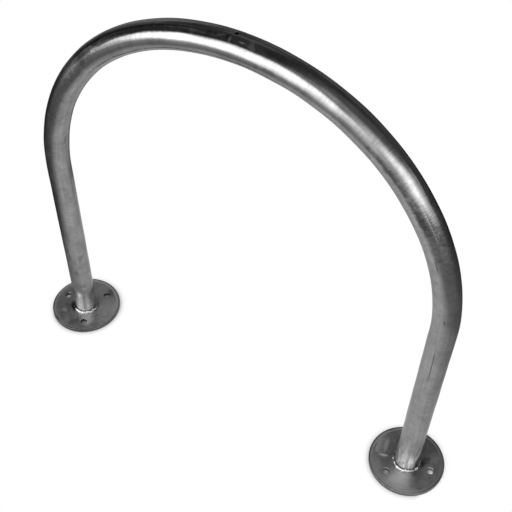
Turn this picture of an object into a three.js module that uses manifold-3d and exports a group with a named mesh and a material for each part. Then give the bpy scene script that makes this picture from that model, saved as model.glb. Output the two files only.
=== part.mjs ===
// Hoop bike rack: one bent steel pipe, welded at each foot to a round drilled base flange.
// Millimetres, +Z up. The hoop stands in the XZ plane and the ground is Z = 0.
// The origin lies midway between the feet.
import * as THREE from "three";
import { mergeVertices } from "three/addons/utils/BufferGeometryUtils.js";
import Module from "manifold-3d";

const wasm = await Module();
wasm.setup();

// Hoop pipe, all lengths and radii to its centreline
const footSpacing = 812.8;
const bendStartHeight = 438;
const haunchRadius = 446;
const haunchAngle = THREE.MathUtils.degToRad(46);
const pipeDiameter = 48.26;
const pipeWall = 3.68;
const ventDiameter = 6.35;

// Base flanges
const flangeDiameter = 155;
const flangeThickness = 8;
const flangeEdgeChamfer = 0.8;
const drainDiameter = 25.4;
const boltCount = 3;
const boltCircleDiameter = 104;
const boltHoleDiameter = 14.3;

// Weld beads round the feet of the pipe
const weldWidth = 6;
const weldHeight = 6;
const weldCrown = 1.5;
const weldClearance = 0.3;
const rippleCount = 32;
const rippleDepth = 0.5;

// How far a cutting tool runs past the face that it opens
const cutOverrun = 3;

// Facets
const pipeSides = 32;
const boreSides = 16;
const pipeSteps = 64;
const flangeSides = 72;
const holeSides = 24;
const stationsPerRipple = 3;
const beadFaceSteps = 4;

// Worked out from the sizes above
const footX = footSpacing / 2;
const pipeRadius = pipeDiameter / 2;
const boreRadius = pipeRadius - pipeWall;
const haunchCentreX = footX - haunchRadius;
const crownRadius = haunchRadius + haunchCentreX / Math.cos(haunchAngle);
const crownCentreZ = bendStartHeight + (haunchRadius - crownRadius) * Math.sin(haunchAngle);
const crownZ = crownCentreZ + crownRadius;

// Finishes
const pipeSteel = new THREE.MeshStandardMaterial({ color: 0x8f8f8f, roughness: 0.3, metalness: 1 });
const flangeSteel = new THREE.MeshStandardMaterial({ color: 0x6e6e6e, roughness: 0.45, metalness: 1 });
const weldSteel = new THREE.MeshStandardMaterial({ color: 0xb4b4b4, roughness: 0.25, metalness: 1 });

/** A round bend in the XZ plane, from one angle above +X to another. */
class Bend extends THREE.Curve {
  constructor(centreX, centreZ, radius, startAngle, endAngle) {
    super();
    this.centreX = centreX;
    this.centreZ = centreZ;
    this.radius = radius;
    this.startAngle = startAngle;
    this.endAngle = endAngle;
  }

  getPoint(t, target = new THREE.Vector3()) {
    const angle = THREE.MathUtils.lerp(this.startAngle, this.endAngle, t);
    const x = this.centreX + this.radius * Math.cos(angle);
    const z = this.centreZ + this.radius * Math.sin(angle);
    return target.set(x, 0, z);
  }
}

/** The pipe's centreline: a straight leg, a wide haunch, the crown, and the same down the far side. */
function hoopPath() {
  const haunchEnd = Math.PI - haunchAngle;
  const path = new THREE.CurvePath();
  path.add(new THREE.LineCurve3(onLeg(1, flangeThickness), onLeg(1, bendStartHeight)));
  path.add(new Bend(haunchCentreX, bendStartHeight, haunchRadius, 0, haunchAngle));
  path.add(new Bend(0, crownCentreZ, crownRadius, haunchAngle, haunchEnd));
  path.add(new Bend(-haunchCentreX, bendStartHeight, haunchRadius, haunchEnd, Math.PI));
  path.add(new THREE.LineCurve3(onLeg(-1, bendStartHeight), onLeg(-1, flangeThickness)));
  return path;
}

/** A point on the centreline of the leg on the given side, +1 or -1. */
function onLeg(side, height) {
  return new THREE.Vector3(side * footX, 0, height);
}

/** The corners of a regular polygon inscribed in a circle. */
function circlePoints(radius, sides, centre = new THREE.Vector2()) {
  const corner = (_, i) => {
    const angle = (i / sides) * 2 * Math.PI;
    return new THREE.Vector2(radius * Math.cos(angle), radius * Math.sin(angle)).add(centre);
  };
  return Array.from({ length: sides }, corner);
}

/** A closed geometry as a solid that can be cut. */
function solidOf(geometry) {
  const bare = geometry.clone();
  bare.deleteAttribute("normal");
  bare.deleteAttribute("uv");
  const merged = mergeVertices(bare);
  const vertProperties = Float32Array.from(merged.attributes.position.array);
  const triVerts = Uint32Array.from(merged.index.array);
  return new wasm.Manifold(new wasm.Mesh({ numProp: 3, vertProperties, triVerts }));
}

/** A solid back as a geometry with flat-shaded faces. */
function geometryOf(solid) {
  const { vertProperties, triVerts } = solid.getMesh();
  const geometry = new THREE.BufferGeometry();
  geometry.setAttribute("position", new THREE.BufferAttribute(vertProperties, 3));
  geometry.setIndex(new THREE.BufferAttribute(triVerts, 1));
  const faceted = geometry.toNonIndexed();
  faceted.computeVertexNormals();
  return faceted;
}

/** The pipe, bent in one length, with its vent hole through the top of the crown. */
function makeHoopTube() {
  const section = new THREE.Shape(circlePoints(pipeRadius, pipeSides));
  section.holes.push(new THREE.Path(circlePoints(boreRadius, boreSides)));
  const pipe = new THREE.ExtrudeGeometry(section, {
    steps: pipeSteps,
    extrudePath: hoopPath(),
    bevelEnabled: false,
  });
  return geometryOf(solidOf(pipe).subtract(solidOf(makeVentCutter())));
}

/** A drill that stands on the crown's centreline, so that it opens the upper wall alone. */
function makeVentCutter() {
  const length = pipeRadius + cutOverrun;
  const drill = new THREE.CylinderGeometry(ventDiameter / 2, ventDiameter / 2, length, holeSides);
  drill.rotateX(Math.PI / 2);
  drill.translate(0, 0, crownZ + length / 2);
  return drill;
}

/** A round plate with broken edges, a drain under the pipe and bolt holes in a ring from an angle on. */
function makeFlange(firstHoleAngle) {
  const plate = new THREE.Shape(circlePoints(flangeDiameter / 2, flangeSides));
  plate.holes.push(new THREE.Path(circlePoints(drainDiameter / 2, holeSides)));
  for (let i = 0; i < boltCount; i += 1) {
    const angle = firstHoleAngle + (i / boltCount) * 2 * Math.PI;
    const centre = new THREE.Vector2(Math.cos(angle), Math.sin(angle));
    centre.multiplyScalar(boltCircleDiameter / 2);
    plate.holes.push(new THREE.Path(circlePoints(boltHoleDiameter / 2, holeSides, centre)));
  }
  const flange = new THREE.ExtrudeGeometry(plate, {
    depth: flangeThickness - 2 * flangeEdgeChamfer,
    bevelThickness: flangeEdgeChamfer,
    bevelSize: flangeEdgeChamfer,
    bevelOffset: -flangeEdgeChamfer,
    bevelSegments: 1,
  });
  flange.translate(0, 0, flangeEdgeChamfer);
  return flange;
}

/** The bead's outline as radius and height: up its face from toe to top, then down beside the pipe. */
function beadProfile() {
  const toe = new THREE.Vector2(pipeRadius + weldWidth, 0);
  const top = new THREE.Vector2(pipeRadius + weldClearance, weldHeight);
  const outline = [];
  for (let i = 0; i <= beadFaceSteps; i += 1) {
    outline.push(toe.clone().lerp(top, i / beadFaceSteps));
  }
  outline.push(new THREE.Vector2(pipeRadius + weldClearance, 0));
  outline.push(toe);
  return outline;
}

/** A fillet weld all round the pipe: a crowned ring whose face carries the ripples of the weld pool. */
function makeWeldBead() {
  const outline = beadProfile();
  const stations = rippleCount * stationsPerRipple;
  const bead = new THREE.LatheGeometry(outline, stations);
  bead.rotateX(Math.PI / 2);
  const position = bead.attributes.position;
  const faceLength = Math.hypot(weldWidth, weldHeight);
  for (let i = 0; i < position.count; i += 1) {
    const onFace = i % outline.length;
    const swell = onFace <= beadFaceSteps ? Math.sin((onFace / beadFaceSteps) * Math.PI) : 0;
    const turn = Math.floor(i / outline.length) / stations;
    const ripple = Math.cos(turn * rippleCount * 2 * Math.PI);
    const lift = (swell * (weldCrown + rippleDepth * ripple)) / faceLength;
    const x = position.getX(i);
    const y = position.getY(i);
    const outward = 1 + (lift * weldHeight) / Math.hypot(x, y);
    position.setXYZ(i, x * outward, y * outward, position.getZ(i) + lift * weldWidth);
  }
  bead.computeVertexNormals();
  return bead;
}

/** A named piece of the rack, standing on one leg's axis or, without a side, on the origin. */
function piece(name, geometry, material, side = 0, height = 0) {
  const mesh = new THREE.Mesh(geometry, material);
  mesh.name = name;
  mesh.position.copy(onLeg(side, height));
  return mesh;
}

const rack = new THREE.Group();
rack.add(piece("hoop_tube", makeHoopTube(), pipeSteel));
const feet = [
  { name: "left", side: -1, firstHoleAngle: Math.PI },
  { name: "right", side: 1, firstHoleAngle: 0 },
];
for (const { name, side, firstHoleAngle } of feet) {
  rack.add(piece(`${name}_base_flange`, makeFlange(firstHoleAngle), flangeSteel, side));
  rack.add(piece(`${name}_weld_bead`, makeWeldBead(), weldSteel, side, flangeThickness));
}

export default rack;
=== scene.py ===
"""The hoop bike rack dressed for its portrait: bent steel pipe, drilled foot plates and fillet welds.

Everything is in metres in the rack's own frame: the hoop stands in the XZ plane, the ground is Z = 0, and the
origin lies midway between the feet. "Along" is the distance down the pipe's centreline from the middle of the
crown, positive towards the right foot. "Around" is the angle round the pipe from its outer side, positive
towards the front, which is -Y.
"""

import logging
import math
import random
from dataclasses import dataclass, field
from enum import Enum

import bmesh
import bpy
import numpy as np
from mathutils import Matrix, Vector, noise


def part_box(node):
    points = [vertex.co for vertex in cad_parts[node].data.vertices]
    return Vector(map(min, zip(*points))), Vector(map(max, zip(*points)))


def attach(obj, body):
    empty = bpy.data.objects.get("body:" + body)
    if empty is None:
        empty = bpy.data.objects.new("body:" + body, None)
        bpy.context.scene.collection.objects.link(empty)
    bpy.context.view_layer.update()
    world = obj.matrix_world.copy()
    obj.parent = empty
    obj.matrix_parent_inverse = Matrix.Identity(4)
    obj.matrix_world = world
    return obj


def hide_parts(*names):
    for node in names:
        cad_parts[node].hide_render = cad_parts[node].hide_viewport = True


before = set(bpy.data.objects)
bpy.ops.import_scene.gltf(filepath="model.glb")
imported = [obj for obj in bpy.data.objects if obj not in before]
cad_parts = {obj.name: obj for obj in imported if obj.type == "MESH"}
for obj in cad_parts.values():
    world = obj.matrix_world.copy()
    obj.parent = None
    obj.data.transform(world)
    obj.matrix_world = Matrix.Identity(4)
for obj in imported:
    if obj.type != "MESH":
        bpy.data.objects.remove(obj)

BODY = "root"
FRONT = Vector((0.0, -1.0, 0.0))
FULL_TURN = 2 * math.pi
UNROLLED = "unrolled"
LENGTHWISE = "lengthwise"
LEAST_EDGE = 0.000001
SPOT_CORE_SHARE = 0.3
LOG = logging.getLogger("hoop_rack")

Thing = bpy.types.Object
Mesh = bpy.types.Mesh
Material = bpy.types.Material
Face = tuple[int, ...]
Pair = tuple[float, float]
Tones = tuple[Pair, ...]


class Side(Enum):
    """The two feet of the hoop, by the sign of X at each."""

    LEFT = -1
    RIGHT = 1

    @property
    def word(self) -> str:
        """The side's name as the CAD nodes write it."""
        return self.name.lower()


class SteelSlot(Enum):
    """The record's material slots."""

    PIPE = "pipe"
    PLATE = "flange"
    WELD = "weld"


def middle_of(node: str) -> Vector:
    """The middle of a CAD node's box."""
    lowest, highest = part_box(node)
    return (lowest + highest) / 2


def new_object(name: str, data: bpy.types.ID) -> Thing:
    """Puts a mesh, a lamp or a camera into the scene.

    Args:
        name: The object's name.
        data: The mesh, lamp or camera.

    Returns:
        The new object.
    """
    thing = bpy.data.objects.new(name, data)
    bpy.context.scene.collection.objects.link(thing)
    return thing


def new_mesh(name: str, points: np.ndarray | list[tuple[float, ...]], faces: list[Face]) -> Mesh:
    """Makes a mesh from corners and faces.

    Args:
        name: The mesh's name.
        points: Corners, one row each.
        faces: The corner numbers of each face, anticlockwise from outside.

    Returns:
        The new mesh.
    """
    mesh = bpy.data.meshes.new(name)
    mesh.from_pydata(np.asarray(points).tolist(), [], faces)
    mesh.update()
    return mesh


def ring_faces(rings: int, sides: int, first: int = 0, inward: bool = False) -> list[Face]:
    """The faces between closed rings of corners that follow each other.

    Args:
        rings: How many rings there are.
        sides: How many corners each has.
        first: The number of the first corner.
        inward: Whether the faces look at the middle.

    Returns:
        The faces.
    """
    faces = []
    for start in range(first, first + (rings - 1) * sides, sides):
        for i in range(sides):
            here, beyond = start + i, start + (i + 1) % sides
            face = (here, beyond, beyond + sides, here + sides)
            faces.append(face[::-1] if inward else face)
    return faces


def turned(name: str, profile: list[Pair], sides: int) -> Mesh:
    """Turns a profile about Z into a closed solid.

    Args:
        name: The mesh's name.
        profile: Radius and height from the lowest point to the highest, those on the axis left out.
        sides: How many flats the turned solid has.

    Returns:
        The mesh, with one face at each end.
    """
    points = []
    for radius, height in profile:
        for i in range(sides):
            turn = FULL_TURN * i / sides
            points.append((radius * math.cos(turn), radius * math.sin(turn), height))
    bottom, top = tuple(range(sides))[::-1], tuple(range(len(points) - sides, len(points)))
    return new_mesh(name, points, [bottom, *ring_faces(len(profile), sides), top])


def round_off(mesh: Mesh, crease: float) -> None:
    """Shades a mesh smooth, apart from the edges that turn by at least the crease angle, in degrees."""
    mesh.polygons.foreach_set("use_smooth", [True] * len(mesh.polygons))
    mesh.set_sharp_from_angle(angle=math.radians(crease))


def drilled(thing: Thing, drills: list[Thing]) -> None:
    """Cuts drills out of an object, throws them away and clears the slivers that the cuts leave.

    Args:
        thing: The object to cut.
        drills: Closed objects that hold the space to take out.
    """
    for drill in drills:
        cut = thing.modifiers.new("drill", "BOOLEAN")
        cut.operation = "DIFFERENCE"
        cut.solver = "EXACT"
        cut.object = drill
    whole = thing.data
    shaped = thing.evaluated_get(bpy.context.evaluated_depsgraph_get())
    thing.data = bpy.data.meshes.new_from_object(shaped)
    thing.data.name = whole.name
    thing.modifiers.clear()
    bpy.data.meshes.remove(whole)
    for drill in drills:
        bpy.data.objects.remove(drill)
    work = bmesh.new()
    work.from_mesh(thing.data)
    bmesh.ops.dissolve_degenerate(work, dist=LEAST_EDGE, edges=work.edges)
    work.to_mesh(thing.data)
    work.free()


def level_sheet(name: str, reach: float, height: float) -> Thing:
    """A square sheet that lies level round the origin.

    Args:
        name: Its name.
        reach: Half its side.
        height: Its height.

    Returns:
        The sheet.
    """
    points = [(x * reach, y * reach, height) for x, y in ((-1, -1), (1, -1), (1, 1), (-1, 1))]
    return new_object(name, new_mesh(name, points, [(0, 1, 2, 3)]))


def new_lamp(name: str, width: float, height: float, power: float) -> Thing:
    """An area lamp that the camera doesn't see.

    Args:
        name: Its name.
        width: Its width.
        height: Its height.
        power: Its power in watts.

    Returns:
        The lamp, at the origin and facing down.
    """
    light = bpy.data.lights.new(name, "AREA")
    light.shape = "RECTANGLE"
    light.size, light.size_y = width, height
    light.energy = power
    lamp = new_object(name, light)
    lamp.visible_camera = False
    return lamp


@dataclass(frozen=True)
class Signal:
    """What a node of a shader gives: a number, a place, a colour or a whole shader."""

    recipe: "Recipe"
    socket: bpy.types.NodeSocket

    def do(self, operation: str, *others: "Feed") -> "Signal":
        """Takes one step of arithmetic.

        Args:
            operation: The Math node's operation.
            others: The numbers that follow this one.

        Returns:
            The result.
        """
        return self.recipe.step("Math", dict(enumerate((self, *others))), operation=operation)

    def __add__(self, other: "Feed") -> "Signal":
        """This and another number together."""
        return self.do("ADD", other)

    def __sub__(self, other: "Feed") -> "Signal":
        """This less another number."""
        return self.do("SUBTRACT", other)

    def __rsub__(self, other: "Feed") -> "Signal":
        """Another number less this."""
        return self.do("MULTIPLY_ADD", -1.0, other)

    def __mul__(self, other: "Feed") -> "Signal":
        """This times another number."""
        return self.do("MULTIPLY", other)

    def __truediv__(self, other: "Feed") -> "Signal":
        """This divided by another number."""
        return self.do("DIVIDE", other)

    def __abs__(self) -> "Signal":
        """This without its sign."""
        return self.do("ABSOLUTE")

    def swing(self, reach: float) -> "Signal":
        """A pattern about 0 whose ends lie this far apart, from one that runs from 0 to 1."""
        return (self - 0.5) * reach

    def fade(self, start: "Feed", end: "Feed", low: "Feed" = 0.0, high: "Feed" = 1.0) -> "Signal":
        """Runs smoothly from one value to another while this crosses a range.

        Args:
            start: Where the fade starts.
            end: Where it ends.
            low: The value before the start.
            high: The value after the end.

        Returns:
            The faded value.
        """
        values = dict(enumerate((self, start, end, low, high)))
        return self.recipe.step("MapRange", values, interpolation_type="SMOOTHSTEP")


Feed = Signal | float | tuple[float, ...]
Inputs = dict[int | str, Feed]


class Recipe:
    """A shader, laid out node by node."""

    def __init__(self, tree: bpy.types.NodeTree) -> None:
        """Starts an empty recipe in a node tree."""
        self.tree = tree
        self.tree.nodes.clear()

    def node(self, kind: str, inputs: Inputs | None = None, **settings: object) -> bpy.types.Node:
        """Adds a node and feeds it.

        Args:
            kind: Its type, without "ShaderNode".
            inputs: What goes into its sockets, by name or number: another node's result, or a constant.
            settings: Its properties.

        Returns:
            The node.
        """
        made = self.tree.nodes.new(f"ShaderNode{kind}")
        for name, value in settings.items():
            setattr(made, name, value)
        for name, value in (inputs or {}).items():
            if isinstance(value, Signal):
                self.tree.links.new(value.socket, made.inputs[name])
            else:
                made.inputs[name].default_value = value
        return made

    def step(
        self, kind: str, inputs: Inputs | None = None, output: int | str = 0, **settings: object
    ) -> Signal:
        """Adds a node and takes one of its results.

        Args:
            kind: Its type, without "ShaderNode".
            inputs: What goes into its sockets, by name or number.
            output: The result's socket, by name or number.
            settings: Its properties.

        Returns:
            The result.
        """
        return Signal(self, self.node(kind, inputs, **settings).outputs[output])

    def parts(self, place: Signal) -> list[Signal]:
        """Splits a place into X, Y and Z."""
        return [Signal(self, socket) for socket in self.node("SeparateXYZ", {0: place}).outputs]

    def grey(self, value: Feed) -> Signal:
        """Turns a number into a grey."""
        return self.step("CombineColor", {0: value, 1: value, 2: value})

    def surface(self, result: str = "Position") -> Signal:
        """A result of the Geometry node: the place on the surface, unless another is named."""
        return self.step("NewGeometry", output=result)


class SurfaceRecipe(Recipe):
    """The shader of one material."""

    def __init__(self, name: str) -> None:
        """Starts an empty material.

        Args:
            name: The material's name.
        """
        self.material = bpy.data.materials.new(name)
        self.material.use_nodes = True
        super().__init__(self.material.node_tree)

    def finish(self, shader: Signal, lights: bool = True) -> Material:
        """Sends a shader to the surface.

        Args:
            shader: The last shader.
            lights: Whether its glow may light other things as a lamp does.

        Returns:
            The material.
        """
        self.node("OutputMaterial", {"Surface": shader})
        if not lights:
            self.material.cycles.emission_sampling = "NONE"
        return self.material

    def steel(
        self, tone: Signal, rough: Signal, heights: list[tuple[Signal, float]], **extra: Feed
    ) -> Material:
        """Makes the surface bare steel.

        Args:
            tone: How bright it is.
            rough: How rough it is.
            heights: Patterns of its relief, lowest layer first, each with the height of 1 in metres.
            extra: The shader's other sockets, with an underscore for a space.

        Returns:
            The material.
        """
        inputs = {"Metallic": 1.0, "Base Color": self.grey(tone), "Roughness": rough}
        for height, depth in heights:
            bump = {"Strength": 1.0, "Distance": depth, "Height": height}
            if "Normal" in inputs:
                bump["Normal"] = inputs["Normal"]
            inputs["Normal"] = self.step("Bump", bump)
        inputs |= {name.replace("_", " "): value for name, value in extra.items()}
        return self.finish(self.step("BsdfPrincipled", inputs))


@dataclass(frozen=True)
class Grain:
    """A cloudy pattern and how far it stirs a finish's tone, roughness and relief.

    Its scale is in grains a unit of the place that it is laid by.
    """

    scale: tuple[float, float, float]
    shift: float = 0.0
    detail: float = 2.0
    swirl: float = 0.0
    tone: float = 0.0
    rough: float = 0.0
    depth: float = 0.0

    def laid(self, place: Signal, further: float = 0.0) -> Signal:
        """Lays the pattern over a surface.

        Args:
            place: Where it is read.
            further: How much more it is shifted, so that two surfaces differ.

        Returns:
            The pattern, mostly from 0.3 to 0.7.
        """
        moved = (self.shift + further,) * 3
        spread = place.recipe.step("Mapping", {"Vector": place, "Scale": self.scale, "Location": moved})
        inputs = {"Vector": spread, "Scale": 1.0, "Detail": self.detail, "Distortion": self.swirl}
        return place.recipe.step("TexNoise", inputs)


def distance(across: Signal, down: Signal) -> Signal:
    """The length of an offset."""
    return (across * across + down * down).do("SQRT")


def spot(down: Signal, aside: Signal, half: Pair, ragged: float, cloud: Signal) -> Signal:
    """Masks a soft round or long spot.

    Args:
        down: The distance from its middle along its length.
        aside: The distance from its middle across it.
        half: Half its length and half its width.
        ragged: How ragged its edge is.
        cloud: The pattern that a ragged edge follows.

    Returns:
        1 inside the spot, 0 outside it.
    """
    far = distance(down / half[0], aside / half[1])
    if ragged:
        far = far + cloud.swing(2 * ragged)
    return far.fade(SPOT_CORE_SHARE, 1.0, 1.0, 0.0)


@dataclass(frozen=True)
class PipeRoute:
    """The pipe's centreline: a straight leg, a wide haunch, the crown, and the same again mirrored."""

    foot_x: float
    foot_z: float
    bend_start_z: float = 0.438
    haunch_radius: float = 0.446
    haunch_angle: float = math.radians(46)

    @property
    def haunch_x(self) -> float:
        """The X of the haunch bend's centre."""
        return self.foot_x - self.haunch_radius

    @property
    def crown_radius(self) -> float:
        """The radius at which the crown meets both haunches smoothly."""
        return self.haunch_radius + self.haunch_x / math.cos(self.haunch_angle)

    @property
    def crown_z(self) -> float:
        """The height of the crown bend's centre."""
        return self.bend_start_z + (self.haunch_radius - self.crown_radius) * math.sin(self.haunch_angle)

    @property
    def crown_turn(self) -> float:
        """How far each half of the crown turns, in radians."""
        return math.pi / 2 - self.haunch_angle

    @property
    def haunch_start(self) -> float:
        """The distance along at which the crown ends and the haunch starts."""
        return self.crown_radius * self.crown_turn

    @property
    def leg_start(self) -> float:
        """The distance along at which the haunch ends and the leg starts."""
        return self.haunch_start + self.haunch_radius * self.haunch_angle

    @property
    def half_length(self) -> float:
        """The distance along from the middle of the crown to either foot."""
        return self.leg_start + self.bend_start_z - self.foot_z

    def trace(self, along: np.ndarray) -> tuple[np.ndarray, np.ndarray]:
        """Follows the centreline.

        Args:
            along: Distances along.

        Returns:
            The centre at each distance, and the direction to the hoop's outer side.
        """
        side = np.where(along < 0, -1.0, 1.0)
        run = np.abs(along)
        on_crown, on_leg = run <= self.haunch_start, run > self.leg_start
        haunch_turn = self.crown_turn + (run - self.haunch_start) / self.haunch_radius
        turn = np.where(on_crown, run / self.crown_radius, haunch_turn)
        turn = np.where(on_leg, math.pi / 2, turn)
        radius = np.where(on_crown, self.crown_radius, self.haunch_radius)
        hub_x = np.where(on_crown, 0.0, self.haunch_x)
        hub_z = np.where(on_crown, self.crown_z, self.bend_start_z)
        drop = np.where(on_leg, run - self.leg_start, 0.0)
        flat = np.zeros_like(run)
        centre = [side * (hub_x + radius * np.sin(turn)), flat, hub_z + radius * np.cos(turn) - drop]
        return np.stack(centre, 1), np.stack([side * np.sin(turn), flat, np.cos(turn)], 1)

    def unroll(self, points: np.ndarray) -> np.ndarray:
        """Finds points as if the pipe had been left straight.

        Args:
            points: Points on the pipe, one row each.

        Returns:
            For each, its offset to the outer side, its offset to the front, and its distance along.
        """
        side = np.where(points[:, 0] < 0, -1.0, 1.0)
        x, z = np.abs(points[:, 0]), points[:, 2]
        over_crown, beside_haunch, over_haunch = z - self.crown_z, x - self.haunch_x, z - self.bend_start_z
        crown_turn = np.arctan2(x, over_crown)
        haunch_turn = np.arctan2(beside_haunch, over_haunch)
        on_crown = (crown_turn <= self.crown_turn) & (over_crown > 0)
        on_leg = ~on_crown & (over_haunch <= 0)
        off_haunch = np.hypot(beside_haunch, over_haunch) - self.haunch_radius
        outer = np.where(on_crown, np.hypot(x, over_crown) - self.crown_radius, off_haunch)
        outer = np.where(on_leg, x - self.foot_x, outer)
        haunch_run = self.haunch_start + (haunch_turn - self.crown_turn) * self.haunch_radius
        run = np.where(on_crown, crown_turn * self.crown_radius, haunch_run)
        run = np.where(on_leg, self.leg_start - over_haunch, run)
        return np.stack([outer, -points[:, 1], side * run], 1)


@dataclass(frozen=True)
class PipeMark:
    """A mark on the pipe: where its middle is along and around, in degrees, and half its length and width.

    A lighter mark has a darkness below 0. A leaning one goes round the pipe as it goes along. Most marks are
    stains and scuffs; a few are painted reflections and one is a painted highlight.
    """

    along: float
    around: float
    length: float
    width: float
    darkness: float
    lean: float = 0.0
    ragged: float = 0.0


@dataclass(frozen=True)
class PipeFinish:
    """Semi-bright steel pipe: scratches across it, streaks down it, stains, ends wiped by the weld, and a few
    painted reflections and a painted highlight among its marks.

    A pair is for the left and the right of the hoop, or it is where a fade starts and ends. Angles are in
    radians here, and in degrees in the marks.
    """

    pipe_radius: float
    half_length: float
    reflectance: float = 0.27
    edge_tint: float = 0.75
    brushing: float = 0.7
    roughness: Pair = (0.125, 0.185)
    rougher_between: Pair = (-0.12, 0.16)
    scuff_roughness: float = 0.12
    sides_change: Pair = (-0.1, 0.1)
    cleaned_ends: Pair = (0.074, 0.125)
    cleaned_edge_shares: Pair = (0.1, 1.1)
    cleaned_rag: float = 0.04
    cleaned_least: Pair = (0.08, 0.05)
    cleaned_most: Pair = (0.13, 0.26)
    cleaned_between: Pair = (0.32, 0.68)
    cleaned_roughness: float = 0.34
    worked_from: Pair = (0.22, 0.32)
    worked_to: Pair = (0.44, 0.56)
    ripple_pitch: float = 0.0052
    ripple_along: float = 0.425
    ripple_around: float = math.radians(42)
    ripple_bow: float = 0.012
    ripple_rag_share: float = 1.6
    ripple_reach: float = 0.07
    ripple_core_share: float = 0.3
    ripple_sides: Pair = (0.3, 0.9)
    ripple_depth: float = 0.00001
    scratches: Grain = Grain((40.0, 40.0, 420.0), tone=0.13, depth=0.000012)
    teeth: Grain = Grain((62.0, 62.0, 230.0), 7.0, rough=0.07, depth=0.00005)
    streaks: Grain = Grain((230.0, 230.0, 8.0), 3.0, 3.0, tone=0.12)
    clouds: Grain = Grain((38.0, 38.0, 20.0), 11.0, 3.0, 0.4, tone=0.2, rough=0.12)
    blotches: Grain = Grain((95.0, 95.0, 80.0), 5.0, 3.0, 0.5, tone=0.12, depth=0.00008)
    smears: Grain = Grain((150.0, 150.0, 30.0), 21.0, swirl=0.3)
    runs: Grain = Grain((190.0, 190.0, 40.0), 2.0, swirl=0.3)
    speckle: Grain = Grain((150.0, 150.0, 360.0), 31.0, 3.0, 0.6, tone=0.9, rough=0.12)
    marks: tuple[PipeMark, ...] = (
        PipeMark(0.726, 88, 0.078, 0.0013, 0.6, 0.02),
        PipeMark(0.602, 79, 0.007, 0.0018, 0.6),
        PipeMark(0.477, 86, 0.020, 0.0014, 0.65, 0.0, 0.2),
        PipeMark(0.431, 37, 0.030, 0.0030, 0.3, 0.0, 0.6),
        PipeMark(0.385, 80, 0.045, 0.0060, 0.45, 0.0, 1.4),
        PipeMark(0.300, 84, 0.070, 0.0045, 0.4, 0.0, 1.3),
        PipeMark(0.155, 31, 0.034, 0.0050, -0.5, 0.0, 1.4),
        PipeMark(0.065, 88, 0.022, 0.0045, 0.3, 0.0, 1.2),
        PipeMark(0.085, 24, 0.050, 0.0080, 0.25, 0.0, 0.8),
        PipeMark(0.015, 31, 0.006, 0.0024, -1.6, 0.0, 0.9),
        PipeMark(0.029, 28, 0.008, 0.0085, -0.8, 0.0, 1.6),
        PipeMark(0.014, -9, 0.020, 0.0080, 0.45, 0.0, 0.8),
        PipeMark(-0.004, 31, 0.003, 0.0065, -1.2, 0.0, 0.9),
        PipeMark(-0.009, 27, 0.003, 0.0065, 0.45, 0.0, 0.9),
        PipeMark(-0.019, 26, 0.009, 0.0028, -0.9, 0.35, 0.8),
        PipeMark(-0.034, 27, 0.012, 0.0040, 0.35, 0.0, 0.9),
        # Painted reflection: lightens a long band just under the crown's highlight on the left.
        PipeMark(-0.165, 95, 0.170, 0.0160, -0.22, 0.0, 0.4),
        # Painted dark reflection: darkens a long band just above the crown's highlight on the left.
        PipeMark(-0.150, 41, 0.175, 0.0080, 0.8, 0.015, 0.3),
        PipeMark(-0.262, 39, 0.026, 0.0100, 0.5, 0.0, 1.3),
        PipeMark(-0.272, 63, 0.014, 0.0045, -0.5, 0.0, 1.4),
        PipeMark(-0.312, 62, 0.022, 0.0150, 0.4, 0.0, 1.3),
        PipeMark(-0.365, 66, 0.050, 0.0130, -0.4, 0.0, 1.5),
        PipeMark(-0.395, 133, 0.016, 0.0050, -0.25, 0.0, 1.4),
        PipeMark(-0.318, 128, 0.030, 0.0060, -0.25, 0.0, 1.6),
        # Painted reflection: a long pale line along the inner side of the left crown and haunch.
        PipeMark(-0.240, 128, 0.170, 0.0036, -0.4, 0.025, 0.2),
        PipeMark(-0.560, 170, 0.016, 0.0050, 0.3, 0.0, 0.6),
        PipeMark(-0.878, 91, 0.013, 0.0030, 0.45, 0.0, 0.6),
        PipeMark(-0.902, 150, 0.013, 0.0090, 0.2, 0.0, 0.8),
        PipeMark(-0.948, 114, 0.012, 0.0060, 0.32, 0.0, 0.8),
        PipeMark(-1.002, 116, 0.026, 0.0140, 0.25, 0.0, 0.8),
        PipeMark(0.640, 36, 0.022, 0.0035, -0.25, 0.0, 1.0),
        PipeMark(0.894, 62, 0.007, 0.0090, 0.2, 0.0, 0.8),
        PipeMark(1.062, 92, 0.008, 0.0050, 0.35, 0.0, 0.8),
        # Painted dark reflection of the plate, on the right foot just in front of its outer side.
        PipeMark(1.062, 12, 0.050, 0.0115, 0.75, -0.19, 0.1),
        # Painted highlight: a pale line down the front of the right foot.
        PipeMark(1.062, 60, 0.032, 0.0065, -0.45, 0.0, 0.4),
        PipeMark(1.060, 124, 0.034, 0.0130, 0.2, 0.0, 0.5),
        PipeMark(-0.985, 110, 0.100, 0.0600, 0.13, 0.0, 0.6),
    )

    def mark_mask(self, along: Signal, around: Signal, blotches: Signal, mark: PipeMark) -> Signal:
        """Masks one mark.

        Args:
            along: The distance along.
            around: The angle around, in radians.
            blotches: The pattern that ragged marks follow.
            mark: The mark.

        Returns:
            Its mask, 0 where there is none.
        """
        down = along - mark.along
        aside = (around - math.radians(mark.around)) * self.pipe_radius + down * mark.lean
        return spot(down, aside, (mark.length, mark.width), mark.ragged, blotches)

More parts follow.
